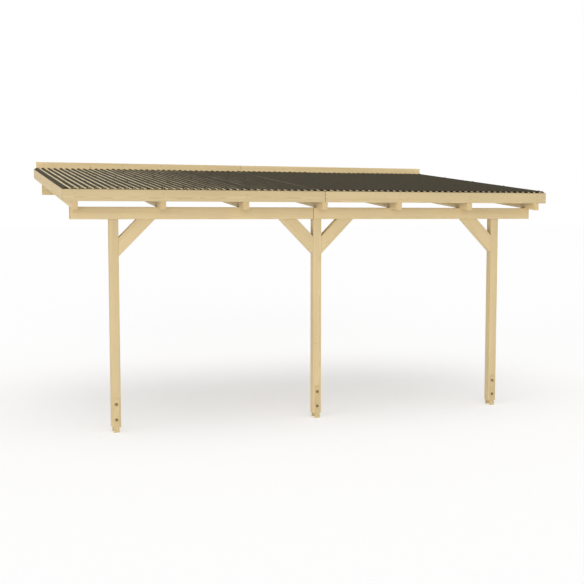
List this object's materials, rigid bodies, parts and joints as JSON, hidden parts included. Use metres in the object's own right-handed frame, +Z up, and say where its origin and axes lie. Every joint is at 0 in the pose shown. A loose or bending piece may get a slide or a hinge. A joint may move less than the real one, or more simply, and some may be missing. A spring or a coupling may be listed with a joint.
{
  "type": "timber patio cover",
  "caption": "Wall-mounted open timber patio cover with posts on steel anchors, knee braces, a jointed front beam, rafters and a corrugated lean-to roof.",
  "frame": {"origin": "on the flat back face of the wall beam, at half its height and at the middle of the roof's width", "axes": "+X to the right along the wall, +Y into the wall, +Z up; the open front faces -Y"},
  "size_m": [5.64, 3.2674, 2.985],
  "materials": {
    "frame_timber": "planed softwood, untreated",
    "board_timber": "planed softwood boards, untreated",
    "batten_timber": "sawn softwood",
    "roof_sheet": "matt dark brown corrugated sheet, pale along its valleys",
    "zinc_steel": "yellow passivated zinc"
  },
  "bodies": {
    "root": {"post_left": "frame_timber", "post_middle": "frame_timber", "post_right": "frame_timber", "post_anchor_left": "zinc_steel", "post_anchor_middle": "zinc_steel", "post_anchor_right": "zinc_steel", "brace_left": "frame_timber", "brace_middle_left": "frame_timber", "brace_middle_right": "frame_timber", "brace_right": "frame_timber", "front_beam_left": "frame_timber", "front_beam_right": "frame_timber", "wall_beam_left": "frame_timber", "wall_beam_right": "frame_timber", "rafter_1": "frame_timber", "rafter_2": "frame_timber", "rafter_3": "frame_timber", "rafter_4": "frame_timber", "rafter_5": "frame_timber", "rafter_6": "frame_timber", "rafter_7": "frame_timber", "batten_1": "batten_timber", "batten_2": "batten_timber", "batten_3": "batten_timber", "batten_4": "batten_timber", "batten_5": "batten_timber", "front_fascia_left": "board_timber", "front_fascia_right": "board_timber", "verge_board_left": "board_timber", "verge_board_right": "board_timber", "wall_board_left": "board_timber", "wall_board_right": "board_timber", "roof_sheet_1": "roof_sheet", "roof_sheet_2": "roof_sheet", "roof_sheet_3": "roof_sheet", "roof_sheet_4": "roof_sheet", "roof_sheet_5": "roof_sheet", "roof_sheet_6": "roof_sheet"}
  },
  "joints": []
}
